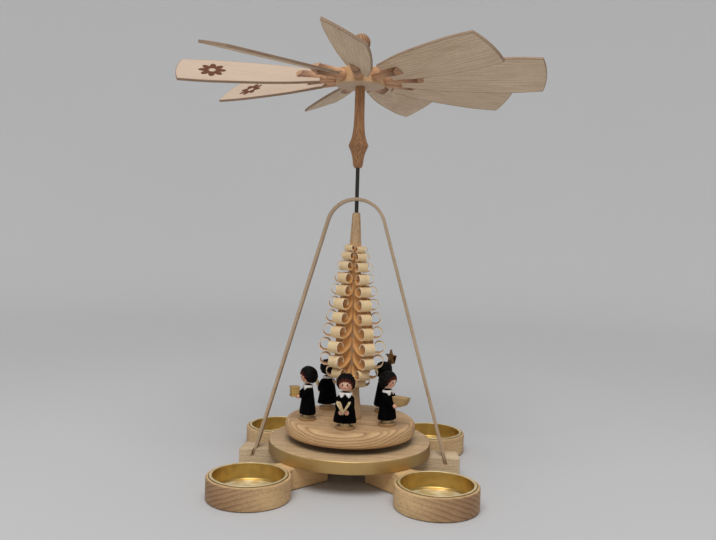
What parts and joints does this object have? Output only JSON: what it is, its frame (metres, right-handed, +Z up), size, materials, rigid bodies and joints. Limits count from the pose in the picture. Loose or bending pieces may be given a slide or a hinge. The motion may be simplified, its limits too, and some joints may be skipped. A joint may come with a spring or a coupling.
{
  "type": "christmas pyramid",
  "caption": "Wooden tea-light carousel: rising warm air turns a pitched-blade wheel, and with it a turntable of carol singers around a tree of curled shavings under an arch.",
  "frame": {"origin": "where the spin axis meets the plane that the stand rests on", "axes": "+Z up along the spin axis, +X along the cross bar and the arch to the viewer's right, -Y towards the viewer"},
  "size_m": [0.2219, 0.2203, 0.2734],
  "materials": {
    "beech": "bare sanded beech with a fine grain",
    "turned_wood": "turned wood, a warmer tone, oiled",
    "blade_wood": "thin pale wood, sanded, with a dark burnt rosette near each tip",
    "shaving": "fresh pale shavings, darker where they are rooted",
    "brass": "drawn brass sheet, bright",
    "steel": "dark drawn steel",
    "black_paint": "turned wood painted matt black",
    "skin_paint": "turned wood painted a skin tone",
    "gold_paint": "wood painted gold",
    "book": "thin pale wood with a drawn edge"
  },
  "bodies": {
    "stand": {"cross_bar": "beech", "candle_arm_front_right": "beech", "candle_arm_front_left": "beech", "candle_arm_back_left": "beech", "candle_arm_back_right": "beech", "brass_cup_front_right": "brass", "brass_cup_front_left": "brass", "brass_cup_back_left": "brass", "brass_cup_back_right": "brass", "base_disc": "beech", "pivot_bearing": "brass", "arch": "beech"},
    "rotor": {"rod": "steel", "turntable": "beech", "shaving_tree": "shaving", "singer_front_robe": "black_paint", "singer_front_head": "skin_paint", "singer_front_hair": "black_paint", "singer_front_prop": "book", "singer_left_robe": "black_paint", "singer_left_head": "skin_paint", "singer_left_hair": "black_paint", "singer_left_prop": "gold_paint", "singer_back_left_robe": "black_paint", "singer_back_left_head": "skin_paint", "singer_back_left_hair": "black_paint", "singer_back_left_prop": "book", "singer_star_robe": "black_paint", "singer_star_head": "skin_paint", "singer_star_hair": "black_paint", "singer_star_prop": "gold_paint", "singer_right_robe": "black_paint", "singer_right_head": "skin_paint", "singer_right_hair": "black_paint", "singer_right_prop": "book"},
    "wheel": {"spindle": "turned_wood", "wheel_hub": "turned_wood", "ball_finial": "turned_wood"},
    "blade_body_1": {"blade_1": "blade_wood", "blade_holder_1": "turned_wood"},
    "blade_body_2": {"blade_2": "blade_wood", "blade_holder_2": "turned_wood"},
    "blade_body_3": {"blade_3": "blade_wood", "blade_holder_3": "turned_wood"},
    "blade_body_4": {"blade_4": "blade_wood", "blade_holder_4": "turned_wood"},
    "blade_body_5": {"blade_5": "blade_wood", "blade_holder_5": "turned_wood"},
    "blade_body_6": {"blade_6": "blade_wood", "blade_holder_6": "turned_wood"},
    "blade_body_7": {"blade_7": "blade_wood", "blade_holder_7": "turned_wood"},
    "blade_body_8": {"blade_8": "blade_wood", "blade_holder_8": "turned_wood"},
    "blade_body_9": {"blade_9": "blade_wood", "blade_holder_9": "turned_wood"}
  },
  "joints": [
    {"name": "rotor_spin", "type": "hinge", "parent": "stand", "child": "rotor", "pos_m": [0, 0, 0], "axis": [0, 0, 1], "continuous": true},
    {"name": "wheel_lift", "type": "slide", "parent": "rotor", "child": "wheel", "axis": [0, 0, 1], "range_m": [0, 0.03]},
    {"name": "blade_twist_1", "type": "hinge", "parent": "wheel", "child": "blade_body_1", "pos_m": [0, 0, 0.246], "axis": [0.8746, 0.4848, 0], "continuous": true},
    {"name": "blade_twist_2", "type": "hinge", "parent": "wheel", "child": "blade_body_2", "pos_m": [0, 0, 0.246], "axis": [0.3584, 0.9336, 0], "continuous": true},
    {"name": "blade_twist_3", "type": "hinge", "parent": "wheel", "child": "blade_body_3", "pos_m": [0, 0, 0.246], "axis": [-0.3256, 0.9455, 0], "continuous": true},
    {"name": "blade_twist_4", "type": "hinge", "parent": "wheel", "child": "blade_body_4", "pos_m": [0, 0, 0.246], "axis": [-0.8572, 0.515, 0], "continuous": true},
    {"name": "blade_twist_5", "type": "hinge", "parent": "wheel", "child": "blade_body_5", "pos_m": [0, 0, 0.246], "axis": [-0.9877, -0.1564, 0], "continuous": true},
    {"name": "blade_twist_6", "type": "hinge", "parent": "wheel", "child": "blade_body_6", "pos_m": [0, 0, 0.246], "axis": [-0.6561, -0.7547, 0], "continuous": true},
    {"name": "blade_twist_7", "type": "hinge", "parent": "wheel", "child": "blade_body_7", "pos_m": [0, 0, 0.246], "axis": [-0.0175, -0.9998, 0], "continuous": true},
    {"name": "blade_twist_8", "type": "hinge", "parent": "wheel", "child": "blade_body_8", "pos_m": [0, 0, 0.246], "axis": [0.6293, -0.7771, 0], "continuous": true},
    {"name": "blade_twist_9", "type": "hinge", "parent": "wheel", "child": "blade_body_9", "pos_m": [0, 0, 0.246], "axis": [0.9816, -0.1908, 0], "continuous": true}
  ]
}
